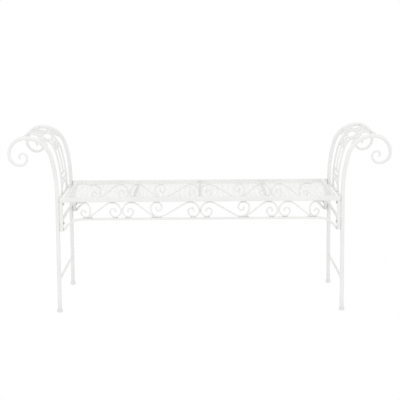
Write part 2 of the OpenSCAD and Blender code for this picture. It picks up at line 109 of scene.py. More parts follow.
@dataclass(frozen=True)
class PowderCoat:
    """White powder coat on steel: a faint orange peel, cloudy gloss and a slight change of white.

    Attributes:
        name: Name of the material.
        white: Linear grey of the coat where it is cleanest.
        shade: Share by which the coat's cloudy patches are darker.
        roughness: Middle roughness of the coat.
        gloss_spread: How far roughness moves to either side of its middle.
        peel: Strength of the orange peel bump.
        peel_size: Distance between two dimples of the peel, in metres.
        warmth: How much less blue than red the coat has.
        metallic: Metallic share, for zinc that shows instead of paint.
        specular: Strength of the plain reflection.
        cloud_scale: Scale of the cloudy patches.
        cloud_detail: Detail of the cloudy patches.
        cloud_edges: Levels of the clouds at which the coat is darkest and cleanest.
        patch_scale: Scale of the patches of gloss.
        fine_detail: Detail of the gloss and of the peel.
        peel_depth: Height of the peel, in metres.
    """

    name: str
    white: float
    shade: float = 0.05
    roughness: float = 0.42
    gloss_spread: float = 0.08
    peel: float = 0.12
    peel_size: float = 0.0012
    warmth: float = 0.01
    metallic: float = 0.0
    specular: float = 0.42
    cloud_scale: float = 9.0
    cloud_detail: float = 3.0
    cloud_edges: tuple[float, float] = (0.32, 0.68)
    patch_scale: float = 55.0
    fine_detail: float = 2.0
    peel_depth: float = 0.0002

    def colour(self, level: float) -> tuple[float, float, float, float]:
        """Colour of the coat at a share of its full white.

        Args:
            level: Share of the full white.

        Returns:
            Linear colour with alpha.
        """
        grey = self.white * level
        return (grey, grey, grey * (1.0 - self.warmth), 1.0)

    def material(self) -> bpy.types.Material:
        """Builds the node material.

        Returns:
            The new material.
        """
        mat = bpy.data.materials.new(self.name)
        mat.use_nodes = True
        tree = mat.node_tree
        shader = tree.nodes["Principled BSDF"]
        shader.inputs["Metallic"].default_value = self.metallic
        shader.inputs["Specular IOR Level"].default_value = self.specular
        place = tree.nodes.new("ShaderNodeTexCoord")
        clouds = self._noise(tree, place, self.cloud_scale, self.cloud_detail)
        tint = tree.nodes.new("ShaderNodeValToRGB")
        levels = (1.0 - self.shade, 1.0)
        for element, edge, level in zip(tint.color_ramp.elements, self.cloud_edges, levels):
            element.position = edge
            element.color = self.colour(level)
        tree.links.new(clouds.outputs["Fac"], tint.inputs["Fac"])
        tree.links.new(tint.outputs["Color"], shader.inputs["Base Color"])
        gloss = tree.nodes.new("ShaderNodeMapRange")
        gloss.inputs["To Min"].default_value = self.roughness - self.gloss_spread
        gloss.inputs["To Max"].default_value = self.roughness + self.gloss_spread
        patches = self._noise(tree, place, self.patch_scale, self.fine_detail)
        tree.links.new(patches.outputs["Fac"], gloss.inputs["Value"])
        tree.links.new(gloss.outputs["Result"], shader.inputs["Roughness"])
        bump = tree.nodes.new("ShaderNodeBump")
        bump.inputs["Strength"].default_value = self.peel
        bump.inputs["Distance"].default_value = self.peel_depth
        dimples = self._noise(tree, place, 1.0 / self.peel_size, self.fine_detail)
        tree.links.new(dimples.outputs["Fac"], bump.inputs["Height"])
        tree.links.new(bump.outputs["Normal"], shader.inputs["Normal"])
        return mat

    @staticmethod
    def _noise(tree: bpy.types.NodeTree, place: bpy.types.Node, scale: float,
               detail: float) -> bpy.types.Node:
        """Adds a noise texture in object space.

        Args:
            tree: Node tree that it goes into.
            place: Texture coordinate node.
            scale: Scale of the noise.
            detail: Detail of the noise.

        Returns:
            The noise node.
        """
        noise = tree.nodes.new("ShaderNodeTexNoise")
        noise.inputs["Scale"].default_value = scale
        noise.inputs["Detail"].default_value = detail
        tree.links.new(place.outputs["Object"], noise.inputs["Vector"])
        return noise


COATS = {
    Finish.PAINT: PowderCoat("white_powder_coat", white=0.85),
    # the weld beads' darker, rougher coat is painted shade for the crevices where bars meet
    Finish.WELD: PowderCoat("weld_bead_painted_shade", white=0.70, shade=0.12, roughness=0.55, peel=0.6,
                            peel_size=0.0022, warmth=0.02),
    Finish.MESH: PowderCoat("white_coated_wire", white=0.90, peel=0.05, roughness=0.48),
    Finish.FOOT: PowderCoat("white_foot_plastic", white=0.80, roughness=0.6, peel=0.2,
                            peel_size=0.0007, warmth=0.02),
    Finish.BOLT: PowderCoat("zinc_bolt", white=0.66, shade=0.25, roughness=0.38, peel=0.06, metallic=0.5),
}


class Paintbox:
    """Makes each finish once and puts it on pieces."""

    def __init__(self) -> None:
        """Makes the materials."""
        self.materials = {finish: coat.material() for finish, coat in COATS.items()}

    def dress(self, obj: bpy.types.Object, finish: Finish) -> None:
        """Gives an object the material of a finish.

        Args:
            obj: Mesh object.
            finish: Its finish.
        """
        obj.data.materials.clear()
        obj.data.materials.append(self.materials[finish])


# ---- Bent paths ----


def sin_cos(degrees: float) -> tuple[float, float]:
    """Sine and cosine of an angle.

    Args:
        degrees: The angle.

    Returns:
        Its sine and its cosine.
    """
    angle = math.radians(degrees)
    return math.sin(angle), math.cos(angle)


@dataclass(frozen=True)
class Step:
    """One step of a bent bar: a bend of a radius through a turn, or a straight where the turn is zero.

    Attributes:
        size: Bend radius or length.
        turn: Turn in degrees, positive to the left.
    """

    size: float
    turn: float = 0.0

    @property
    def length(self) -> float:
        """Length of the step along the bar's axis."""
        return self.size * math.radians(abs(self.turn)) if self.turn else self.size

    def after(self, place: Vector, heading: float, share: float = 1.0) -> tuple[Vector, float]:
        """Place and heading after a share of the step.

        Args:
            place: Where the step starts.
            heading: Heading at its start, in radians.
            share: Share of the step.

        Returns:
            The place and the heading in radians.
        """
        if not self.turn:
            return place + share * self.size * Vector((math.cos(heading), math.sin(heading))), heading
        side = math.copysign(1.0, self.turn)
        end = heading + share * math.radians(self.turn)
        swing = Vector((math.sin(end) - math.sin(heading), math.cos(heading) - math.cos(end)))
        return place + side * self.size * swing, end


def turned_back(steps: Sequence[Step]) -> tuple[Step, ...]:
    """The same steps from last to first, bent the other way.

    Args:
        steps: The steps.

    Returns:
        Their mates.
    """
    return tuple(Step(step.size, -step.turn) for step in reversed(steps))


@dataclass(frozen=True)
class Path:
    """Axis of a bar bent in one plane.

    Attributes:
        steps: Steps of the bar.
        start: Where it starts.
        heading: Heading at its start, in degrees.
    """

    steps: tuple[Step, ...]
    start: tuple[float, float] = (0.0, 0.0)
    heading: float = 0.0

    @property
    def length(self) -> float:
        """Length of the whole path."""
        return sum(step.length for step in self.steps)

    def at(self, distance: float) -> tuple[Vector, float]:
        """Place and heading at a distance along the path.

        Args:
            distance: Distance from the start.

        Returns:
            The place and the heading in radians.
        """
        place, heading = Vector(self.start), math.radians(self.heading)
        for step in self.steps[:-1]:
            if distance <= step.length:
                return step.after(place, heading, distance / step.length)
            place, heading = step.after(place, heading)
            distance -= step.length
        last = self.steps[-1]
        return last.after(place, heading, distance / last.length)

    def stations(self, spacing: float, angle: float = 9.0) -> list[float]:
        """Distances along the path, closer together where it bends tightly.

        Args:
            spacing: Greatest distance between two stations.
            angle: Greatest turn between two stations, in degrees.

        Returns:
            Distances from the start, from 0 to the path's length.
        """
        found, start = [0.0], 0.0
        for step in self.steps:
            count = max(1, math.ceil(step.length / spacing), math.ceil(abs(step.turn) / angle))
            found += [start + step.length * (i + 1) / count for i in range(count)]
            start += step.length
        return found

    def samples(self, spacing: float) -> list[Vector]:
        """Places along the path, closer together where it bends tightly.

        Args:
            spacing: Greatest distance between two places.

        Returns:
            The places.
        """
        return [self.at(distance)[0] for distance in self.stations(spacing)]

    def through(self, count: int, point: tuple[float, float]) -> "Path":
        """The same path moved so that its first steps end at a point.

        Args:
            count: Number of steps.
            point: Where they end.

        Returns:
            The moved path.
        """
        place, heading = Vector(self.start), math.radians(self.heading)
        for step in self.steps[:count]:
            place, heading = step.after(place, heading)
        shift = Vector(point) - place
        return Path(self.steps, (self.start[0] + shift.x, self.start[1] + shift.y), self.heading)


# ---- Mesh building ----


def mesh_object(name: str, bm: bmesh.types.BMesh) -> bpy.types.Object:
    """Turns a bmesh into an object of the scene, shaded smooth with its sharp edges kept.

    Args:
        name: Name of the piece.
        bm: Mesh, which is freed.

    Returns:
        The new object.
    """
    bmesh.ops.recalc_face_normals(bm, faces=bm.faces)
    for face in bm.faces:
        face.smooth = True
    for edge in bm.edges:
        if len(edge.link_faces) == 2:
            edge.smooth = edge.calc_face_angle(0.0) < SMOOTH_ANGLE
    mesh = bpy.data.meshes.new(name)
    bm.to_mesh(mesh)
    bm.free()
    obj = bpy.data.objects.new(name, mesh)
    bpy.context.scene.collection.objects.link(obj)
    return obj


def circle(sides: int) -> list[tuple[float, float]]:
    """Corners of a round section of radius 1.

    Args:
        sides: Number of corners.

    Returns:
        Cosine and sine of each corner.
    """
    angles = [math.tau * k / sides for k in range(sides)]
    return [(math.cos(a), math.sin(a)) for a in angles]


def join_loops(bm: bmesh.types.BMesh, loops: Sequence[Sequence[bmesh.types.BMVert]]) -> None:
    """Adds the faces between each loop of corners and the next.

    Args:
        bm: Mesh that they go into.
        loops: Loops in order, all with the same number of corners.
    """
    for low, high in zip(loops, loops[1:]):
        for k in range(len(low)):
            m = (k + 1) % len(low)
            bm.faces.new((low[k], low[m], high[m], high[k]))


def add_tube(bm: bmesh.types.BMesh, centres: Sequence[Vector], normals: Sequence[Vector],
             radii: Sequence[float], sides: int) -> None:
    """Adds a closed round bar along points in space, with domed tips.

    Args:
        bm: Mesh that it goes into.
        centres: Points of the bar's axis.
        normals: One direction square to the axis for each point.
        radii: One radius for each point.
        sides: Number of sides.
    """
    count = len(centres)
    rings = []
    for i, (centre, normal, radius) in enumerate(zip(centres, normals, radii)):
        tangent = (centres[min(i + 1, count - 1)] - centres[max(i - 1, 0)]).normalized()
        rings.append((centre, tangent, normal.normalized(), radius))
    dome = [sin_cos(angle) for angle in DOME_ANGLES]
    c, t, n, r = rings[0]
    front = [(c - t * r * DOME_RISE * s, t, n, r * w) for s, w in reversed(dome)]
    c, t, n, r = rings[-1]
    back = [(c + t * r * DOME_RISE * s, t, n, r * w) for s, w in dome]
    corners = circle(sides)
    loops = []
    for centre, tangent, normal, radius in front + rings + back:
        side = tangent.cross(normal).normalized()
        loops.append([bm.verts.new(centre + radius * (x * normal + y * side)) for x, y in corners])
    join_loops(bm, loops)
    bm.faces.new(loops[0])
    bm.faces.new(loops[-1])


def add_bar(bm: bmesh.types.BMesh, spots: Sequence[tuple[Vector, Vector]], radius: float, sides: int) -> None:
    """Adds a closed round bar of one radius, with domed tips.

    Args:
        bm: Mesh that it goes into.
        spots: Points of the bar's axis, each with one direction square to it.
        radius: Radius of the bar.
        sides: Number of sides.
    """
    centres, normals = zip(*spots)
    add_tube(bm, centres, normals, [radius] * len(spots), sides)


def add_lathe(bm: bmesh.types.BMesh, profile: Sequence[tuple[float, float]], place: Matrix,
              sides: int) -> None:
    """Adds a closed turned form about a local Z axis.

    Args:
        bm: Mesh that it goes into.
        profile: Radius and height of each ring of a closed outline, in order.
        place: Where the local axes go.
        sides: Number of sides.
    """
    corners = circle(sides)
    loops = []
    for radius, height in profile:
        ring = [Vector((radius * x, radius * y, height)) for x, y in corners]
        loops.append([bm.verts.new(place @ point) for point in ring])
    join_loops(bm, loops + loops[:1])


def rounded_rectangle(width: float, height: float, radius: float,
                      segments: int = 4) -> list[tuple[float, float]]:
    """Outline of a rectangle with rounded corners, about its centre.

    Args:
        width: Full width.
        height: Full height.
        radius: Corner radius.
        segments: Segments in each corner.

    Returns:
        Points of the outline, counter-clockwise.
    """
    points = []
    for quarter, (sx, sy) in enumerate(((1, 1), (-1, 1), (-1, -1), (1, -1))):
        for i in range(segments + 1):
            a = math.pi / 2 * (quarter + i / segments)
            points.append((sx * (width / 2 - radius) + radius * math.cos(a),
                           sy * (height / 2 - radius) + radius * math.sin(a)))
    return points


def add_box_tube(bm: bmesh.types.BMesh, low: Vector, high: Vector, wall: float, radius: float) -> None:
    """Adds a rectangular tube that fills a box, with rounded long edges and open ends.

    Args:
        bm: Mesh that it goes into.
        low: Lowest corner of the box.
        high: Highest corner of the box.
        wall: Thickness of the tube's wall.
        radius: Radius of its outer long edges, more than the wall.
    """
    size = high - low
    along = max(range(3), key=lambda axis: size[axis])
    u, v = [axis for axis in range(3) if axis != along]
    centre = (low + high) / 2
    outlines = (rounded_rectangle(size[u], size[v], radius),
                rounded_rectangle(size[u] - 2 * wall, size[v] - 2 * wall, radius - wall))
    rings = []
    for outline, end in ((outlines[0], -1), (outlines[0], 1), (outlines[1], 1), (outlines[1], -1)):
        ring = []
        for a, b in outline:
            point = centre.copy()
            point[along] += end * size[along] / 2
            point[u] += a
            point[v] += b
            ring.append(bm.verts.new(point))
        rings.append(ring)
    join_loops(bm, rings + rings[:1])


# ---- Sub-assemblies ----


@dataclass
class Builder:
    """Common work of the sub-assemblies: each finished piece is dressed, placed on its body and reported.

    Attributes:
        paints: The finishes.
    """

    paints: Paintbox

    def piece(self, name: str, bm: bmesh.types.BMesh, finish: Finish, *replaced: str) -> None:
        """Makes a piece, dresses it, puts it on the bench's body and says what it stands for.

        Args:
            name: Name of the piece.
            bm: Its mesh, which is freed.
            finish: Its finish.
            *replaced: CAD nodes that it stands for.
        """
        obj = mesh_object(name, bm)
        self.paints.dress(obj, finish)
        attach(obj, ROOT)
        finish.slot
        if replaced:
            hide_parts(*replaced)
        LOG.info("%s: %d faces, %s", name, len(obj.data.polygons), ", ".join(replaced) or "new piece")


@dataclass
class Arms:
    """Legs with their rolled arms, and the bars that lie on the arms' curve.

    Attributes:
        leg_x: Distance of the legs from the middle.
        leg_y: Distance of the legs from the front-to-rear middle.
        leg_r: Radius of the leg tube.
        sole: Height at which the tube starts.
        seat: Height of the seat's top face.
        lean_start: Height above the seat at which the lean starts.
        lean: Radius and turn of the long lean.
        shoulder_r: Bend radius of the shoulder.
        volute_r: Bend radius of the volute's first quarter.
        volute_ratio: Each quarter's share of the one before.
        volute_quarters: Quarter turns in the volute.
        volute_tip: Last turn and tip diameter.
        curl_bar: Diameter of the bar that the curls are bent from.
        curl_radii: Neck, inner and end radii of a curl.
        curl_leads: Straight lead of a lower curl, and what is added to an upper curl's lead.
        wishbone: Turn and radius of a wishbone bar's bends.
        outer_back: Distance of the outer scrolls from the top of the arm.
        side_rail: Depth of the side rail's axis under the seat's top, and its diameter.
        upright: Diameter and spacing of the two uprights.
        bar: Diameter of the centre bar and the wishbone.
        bands: Heights of the two bands above the seat, and the height of one band.
        cross_bar: Diameter of the cross bar, and its turn past the top of the arm.
        centre_bar_l: Length of the centre bar.
        gap: Clearance between pieces that seat on each other.
        leg_piece: Greatest length, and greatest turn in degrees, of one piece of a leg's bend.
        leg_sides: Sides of a leg.
        upright_pieces: Pieces of an upright or centre bar along its length.
        upright_sides: Sides of an upright or centre bar.
        rolled_piece: Greatest length of one piece of a bar that is rolled onto the arm's curve.
        rolled_sides: Sides of such a bar.
    """

    leg_x: float = 560 * MM
    leg_y: float = 200 * MM
    leg_r: float = 8 * MM
    sole: float = 3 * MM
    seat: float = 460 * MM
    lean_start: float = 16 * MM
    lean: tuple[float, float] = (530 * MM, -16.0)
    shoulder_r: float = 103 * MM
    volute_r: float = 65 * MM
    volute_ratio: float = 0.66
    volute_quarters: int = 5
    volute_tip: tuple[float, float] = (-60.0, 7 * MM)
    curl_bar: float = 6 * MM
    curl_radii: tuple[float, float, float] = (34 * MM, 14 * MM, 8 * MM)
    curl_leads: tuple[float, float] = (1 * MM, 2 * MM)
    wishbone: tuple[float, float] = (75.0, 14 * MM)
    outer_back: float = 62 * MM
    side_rail: tuple[float, float] = (12 * MM, 12 * MM)
    upright: tuple[float, float] = (8 * MM, 140 * MM)
    bar: float = 7 * MM
    bands: tuple[float, float, float] = (50 * MM, 70 * MM, 9 * MM)
    cross_bar: tuple[float, float] = (10 * MM, 14.0)
    centre_bar_l: float = 110 * MM
    gap: float = 0.3 * MM
    leg_piece: tuple[float, float] = (60 * MM, 6.0)
    leg_sides: int = 28
    upright_pieces: int = 60
    upright_sides: int = 16
    rolled_piece: float = 5 * MM
    rolled_sides: int = 12

    def __post_init__(self) -> None:
        """Works out the arm's path and the places along it."""
        straight = Step(self.seat + self.lean_start - self.sole)
        lean = Step(*self.lean)
        shoulder = Step(self.shoulder_r, -90.0 - self.lean[1])
        quarters = [Step(self.volute_r * self.volute_ratio ** q, -90.0) for q in range(self.volute_quarters)]
        tip = Step(self.volute_r * self.volute_ratio ** self.volute_quarters, self.volute_tip[0])
        self.whole = Path((straight, lean, shoulder, *quarters, tip))
        self.top_at = Path((straight, lean, shoulder)).length
        cross_bar_at = self.top_at + self.volute_r * math.radians(self.cross_bar[1])
        self.upright_to = cross_bar_at - self.cross_bar[0] / 2 - self.gap
        self.inner_y = self.upright[1] / 2 - self.upright[0] / 2 - self.gap
        neck = self.curl_radii[0]
        self.curl_outer_r = self.inner_y - self.curl_bar - self.gap - neck
        self.lower_band_at = self.seat + self.bands[0] - self.sole
        self.upper_band_at = self.seat + self.bands[1] - self.sole
        self.centre_bar_to = self.upper_band_at + self.bands[2] / 2 + self.gap + self.centre_bar_l
        self.upright_from = self.seat - self.side_rail[0] + self.side_rail[1] / 2 + self.gap - self.sole
        turn, neck = self.wishbone
        sin, cos = sin_cos(turn)
        straight = (self.inner_y - self.bar - self.gap / 2 - 2 * neck * (1 - cos)) / sin
        start = (self.lower_band_at - self.bands[2] / 2 - self.gap, -self.bar / 2 - self.gap / 2)
        self.wishbone_path = Path((Step(neck, turn), Step(straight), Step(neck, -turn)), start, 180.0)
        lower_lead, upper_more = self.curl_leads
        self.lower_curl = self.curl(self.centre_bar_to + self.bar / 2 + 2 * self.gap, 0.0, lower_lead)
        lead = 2 * self.curl_outer_r - self.curl_radii[0] + upper_more
        self.upper_curl = self.curl(self.upright_to - self.curl_bar / 2, 180.0, lead)
        upright_out = self.upright[1] / 2 + self.upright[0] / 2
        room = self.leg_y - self.leg_r - self.gap - upright_out
        outer = (room - self.curl_bar - self.gap) / 4
        half = [Step(self.curl_radii[2], 90.0), Step(self.curl_radii[1], 180.0), Step(outer, 180.0)]
        flat = Path((*half, *turned_back(half)), heading=-90.0)
        tip = flat.at(flat.length)[0]
        start = (self.top_at - self.outer_back - tip.x / 2, upright_out + room / 2 - tip.y / 2)
        self.outer_path = Path(flat.steps, start, -90.0)

    def curl(self, start: float, heading: float, lead: float) -> Path:
        """Path of one curl, along the arm in x and across it in y.

        Args:
            start: Where it starts along the arm.
            heading: Heading of its start, 0 up the arm or 180 down it.
            lead: Straight before its first bend.

        Returns:
            The path.
        """
        turn = 1.0 if heading == 0.0 else -1.0
        neck, inner, eye = self.curl_radii
        steps = (Step(lead), Step(neck, 90 * turn), Step(self.curl_outer_r, 180 * turn),
                 Step(inner, 180 * turn), Step(eye, 90 * turn))
        return Path(steps, (start, self.curl_bar / 2 + self.gap / 2), heading)

    def on_arm(self, side: Side, along: float, across: float) -> tuple[Vector, Vector]:
        """Place on the arm's curve, and the direction square to it.

        Args:
            side: End of the bench.
            along: Distance along the arm's axis from its foot.
            across: Y of the place.

        Returns:
            The place and the outward normal.
        """
        flat, heading = self.whole.at(along)
        place = Vector((side.value * (self.leg_x - flat.y), across, self.sole + flat.x))
        normal = Vector((side.value * -math.cos(heading), 0.0, -math.sin(heading)))
        return place, normal

    def add_on_arm(self, bm: bmesh.types.BMesh, side: Side, path: Path, diameter: float,
                   mirror: float) -> None:
        """Adds a bar that lies on the arm's curve.

        Args:
            bm: Mesh that it goes into.
            side: End of the bench.
            path: Path of the bar, along the arm in x and across it in y.
            diameter: Diameter of the bar.
            mirror: 1 or -1, the side of the bench's middle that it lies on.
        """
        flats = path.samples(self.rolled_piece)
        spots = [self.on_arm(side, flat.x, mirror * flat.y) for flat in flats]
        add_bar(bm, spots, diameter / 2, self.rolled_sides)


@dataclass
class ArmBuilder(Builder):
    """Builds the pieces of both arms.

    Attributes:
        arms: Sizes of the arms.
    """

    arms: Arms

    def leg(self, side: Side, row: Row) -> None:
        """Builds one leg with its arm and volute as a single smooth bend.

        Args:
            side: End of the bench.
            row: Front or rear.
        """
        a = self.arms
        root, tip = a.leg_r, a.volute_tip[1] / 2
        total = a.whole.length
        # the tube's domed lower end stays inside the foot cap
        spots = [a.leg_r] + a.whole.stations(*a.leg_piece)[1:]
        centres, normals, radii = [], [], []
        for at in spots:
            place, normal = a.on_arm(side, at, row.value * a.leg_y)
            share = max(0.0, at - a.top_at) / (total - a.top_at)
            centres.append(place)
            normals.append(normal)
            radii.append(root + (tip - root) * share)
        bm = bmesh.new()
        add_tube(bm, centres, normals, radii, a.leg_sides)
        name = f"{side.word}_{row.word}_leg"
        self.piece(f"{name}_bent_tube", bm, Finish.PAINT, name)

    def rolled_pair(self, side: Side, path: Path, diameter: float, piece: str, node: str) -> None:
        """Builds a bar that is rolled onto the arm's curve, and its mate across the arm's middle.

        Args:
            side: End of the bench.
            path: Path of the bar, along the arm in x and across it in y.
            diameter: Diameter of the bar.
            piece: Word for the pair.
            node: Word for the CAD node that it stands for.
        """
        bm = bmesh.new()
        for mirror in (1.0, -1.0):
            self.arms.add_on_arm(bm, side, path, diameter, mirror)
        self.piece(f"{side.word}_{piece}_bars", bm, Finish.PAINT, f"{side.word}_arm_{node}")

    def along_bars(self, side: Side) -> None:
        """Builds the two uprights and the centre bar of one arm panel.

        Args:
            side: End of the bench.
        """
        a = self.arms
        rows = [
            ("uprights", a.upright[0], a.upright_from, a.upright_to, (-a.upright[1] / 2, a.upright[1] / 2)),
            ("centre_bar", a.bar, a.centre_bar_to - a.centre_bar_l, a.centre_bar_to, (0.0,)),
        ]
        for word, diameter, first, last, places in rows:
            radius, count = diameter / 2, a.upright_pieces
            # the domed tips reach the bar's full length
            inset = radius * DOME_RISE
            stations = [first + inset + (last - first - 2 * inset) * i / count for i in range(count + 1)]
            bm = bmesh.new()
            for y in places:
                add_bar(bm, [a.on_arm(side, at, y) for at in stations], radius, a.upright_sides)
            self.piece(f"{side.word}_{word}_round_bar", bm, Finish.PAINT, f"{side.word}_arm_{word}")

    def build(self) -> None:
        """Builds every piece of both arms."""
        a = self.arms
        for side in Side:
            for row in Row:
                self.leg(side, row)
            self.along_bars(side)
            # an inverted V under the bands, curls against the uprights, S-scrolls between upright and leg
            self.rolled_pair(side, a.wishbone_path, a.bar, "wishbone", "wishbone")
            self.rolled_pair(side, a.lower_curl, a.curl_bar, "lower_curl", "lower_curls")
            self.rolled_pair(side, a.upper_curl, a.curl_bar, "upper_curl", "upper_curls")
            self.rolled_pair(side, a.outer_path, a.curl_bar, "outer_scroll", "outer_scrolls")


@dataclass
class Feet(Builder):
    """Push-on caps under the legs.

    Attributes:
        soften: Radius of the sole's edge.
        soften_steps: Faces round that edge.
        step_at: Share of the height at which the cap steps back.
        step: How far it steps back there.
        upper_shape: Taper and share of the height of each ring above the step, from the bottom up.
        slack: Clearance between the bore and the leg.
        floor_rise: How far the bore's floor lies over the leg's lower end.
        sole_rings: Radius of the sole's middle ring, and of the next one as a share of the cap's.
        sides: Sides of a cap.
    """

    soften: float = 2.4 * MM
    soften_steps: int = 4
    step_at: float = 0.3
    step: float = 0.9 * MM
    upper_shape: tuple[tuple[float, float], ...] = (
        (0.0, 0.36), (0.2 * MM, 0.8), (0.8 * MM, 0.95), (1.6 * MM, 1.0))
    slack: float = 0.15 * MM
    floor_rise: float = 0.2 * MM
    sole_rings: tuple[float, float] = (0.2 * MM, 0.7)
    sides: int = 36

    def build(self) -> None:
        """Builds the four caps."""
        low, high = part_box("foot_caps")
        a = Arms()
        outer = high.y - a.leg_y
        height = high.z
        bore, floor = a.leg_r + self.slack, a.sole + self.floor_rise
        middle, share = self.sole_rings
        profile = [(middle, 0.0), (outer * share, 0.0), (outer - self.soften, 0.0)]
        for i in range(1, self.soften_steps + 1):
            sin, cos = sin_cos(90 * i / self.soften_steps)
            profile.append((outer - self.soften * (1 - sin), self.soften * (1 - cos)))
        profile.append((outer, height * self.step_at))
        profile += [(outer - self.step - taper, height * share) for taper, share in self.upper_shape]
        profile += [(bore, height), (bore, floor), (middle, floor)]
        bm = bmesh.new()
        for side in Side:
            for row in Row:
                place = Matrix.Translation((side.value * a.leg_x, row.value * a.leg_y, low.z))
                add_lathe(bm, profile, place, self.sides)
        self.piece("push_on_feet", bm, Finish.FOOT, "foot_caps")


@dataclass
class SeatTray(Builder):
    """Seat rails of square tube and the woven wire panels between them.

    Attributes:
        wall: Wall of a tube.
        edge: Outer corner radius of a rail.
        cross_edge: Share of that radius on a cross member.
        wire_d: Diameter of a wire.
        pitch: Distance between neighbouring wires.
        lift: How far a wire rises and falls from the weave's middle plane.
        reach: How far the wires run on past the box of their CAD node, up to the rails.
        panels: Number of mesh panels.
        shortest: Length in diameters under which a wire is left out.
        crimp: Straight pieces of a wire from one crossing to the next, and the fewest in a wire.
        wire_sides: Sides of a wire.
    """

    wall: float = 1.2 * MM
    edge: float = 2.0 * MM
    cross_edge: float = 0.8
    wire_d: float = 1.4 * MM
    pitch: float = 15 * MM
    lift: float = 0.55 * MM
    reach: float = 0.3 * MM
    panels: int = 4
    shortest: float = 4.0
    crimp: int = 4
    wire_sides: int = 8

    def rails(self) -> None:
        """Builds the four rails of the tray."""
        for word in EDGES:
            node = f"seat_{word}_rail"
            bm = bmesh.new()
            add_box_tube(bm, *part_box(node), self.wall, self.edge)
            self.piece(f"{node}_tube", bm, Finish.PAINT, node)

    def cross_members(self) -> None:
        """Builds the cross members, evenly spaced between the end rails and under the wires."""
        low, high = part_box("seat_cross_members")
        inner_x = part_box("seat_right_rail")[0].x
        pitch = 2 * inner_x / self.panels
        half_w = (high.x - low.x - (self.panels - 2) * pitch) / 2
        bm = bmesh.new()
        for i in range(1, self.panels):
            x = i * pitch - inner_x
            ends = Vector((x - half_w, low.y, low.z)), Vector((x + half_w, high.y, high.z))
            add_box_tube(bm, *ends, self.wall, self.edge * self.cross_edge)
        self.piece("seat_cross_tubes", bm, Finish.PAINT, "seat_cross_members")

    def panel(self, number: int) -> None:
        """Builds one woven panel: each wire passes over and under its neighbours in turn.

        Args:
            number: Number of the panel, from the left.
        """
        node = f"seat_mesh_{number}"
        low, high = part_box(node)
        centre = (low + high) / 2
        half = Vector(((high.x - low.x) / 2 + self.reach, (high.y - low.y) / 2 + self.reach))
        middle_z = high.z - self.wire_d / 2 - self.lift
        reach = (half.x + half.y) / math.sqrt(2)
        count = math.floor(reach / self.pitch)
        bm = bmesh.new()
        for family in (1.0, -1.0):
            along = Vector((1.0, family)).normalized()
            across = Vector((-along.y, along.x))
            for i in range(-count, count + 1):
                offset = across * (i * self.pitch)
                spans = []
                for axis in range(2):
                    ends = sorted((sign * half[axis] - offset[axis]) / along[axis] for sign in (-1.0, 1.0))
                    spans.append(ends)
                first, last = max(s[0] for s in spans), min(s[1] for s in spans)
                if last - first < self.shortest * self.wire_d:
                    continue
                self._wire(bm, centre, middle_z, offset, along, first, last, family * (-1.0) ** i)
        self.piece(f"woven_seat_panel_{number}", bm, Finish.MESH, node)

    def _wire(self, bm: bmesh.types.BMesh, centre: Vector, middle_z: float, offset: Vector,
              along: Vector, first: float, last: float, phase: float) -> None:
        """Adds one crimped wire.

        Args:
            bm: Mesh that it goes into.
            centre: Centre of the panel.
            middle_z: Height of the weave's middle plane.
            offset: Where the wire's line passes the centre.
            along: Direction of the wire.
            first: Start along the line.
            last: End along the line.
            phase: 1 or -1, whether it starts over or under.
        """
        steps = max(self.crimp, math.ceil((last - first) / (self.pitch / self.crimp)))
        spots = []
        for j in range(steps + 1):
            t = first + (last - first) * j / steps
            flat = offset + along * t
            z = middle_z + phase * self.lift * math.cos(math.pi * t / self.pitch)
            spots.append((Vector((centre.x + flat.x, centre.y + flat.y, z)), Vector((0.0, 0.0, 1.0))))
        add_bar(bm, spots, self.wire_d / 2, self.wire_sides)

    def build(self) -> None:
        """Builds the whole tray."""
        self.rails()
        self.cross_members()
        for number in range(1, self.panels + 1):
            self.panel(number)


@dataclass(frozen=True)
class Scroll:
    """One kind of scroll in an apron.

    Attributes:
        word: Kind of scroll, as in its CAD node.
        path: Path of its bar, X along the bench and Y up.
        mirror_x: X of the upright line that it is mirrored in, if it is.
    """

    word: str
    path: Path
    mirror_x: float | None = None

    def out(self, x: float) -> float:
        """Distance from the bench's middle of a point of the path at an X."""
        return x if self.mirror_x is None else 2 * self.mirror_x - x


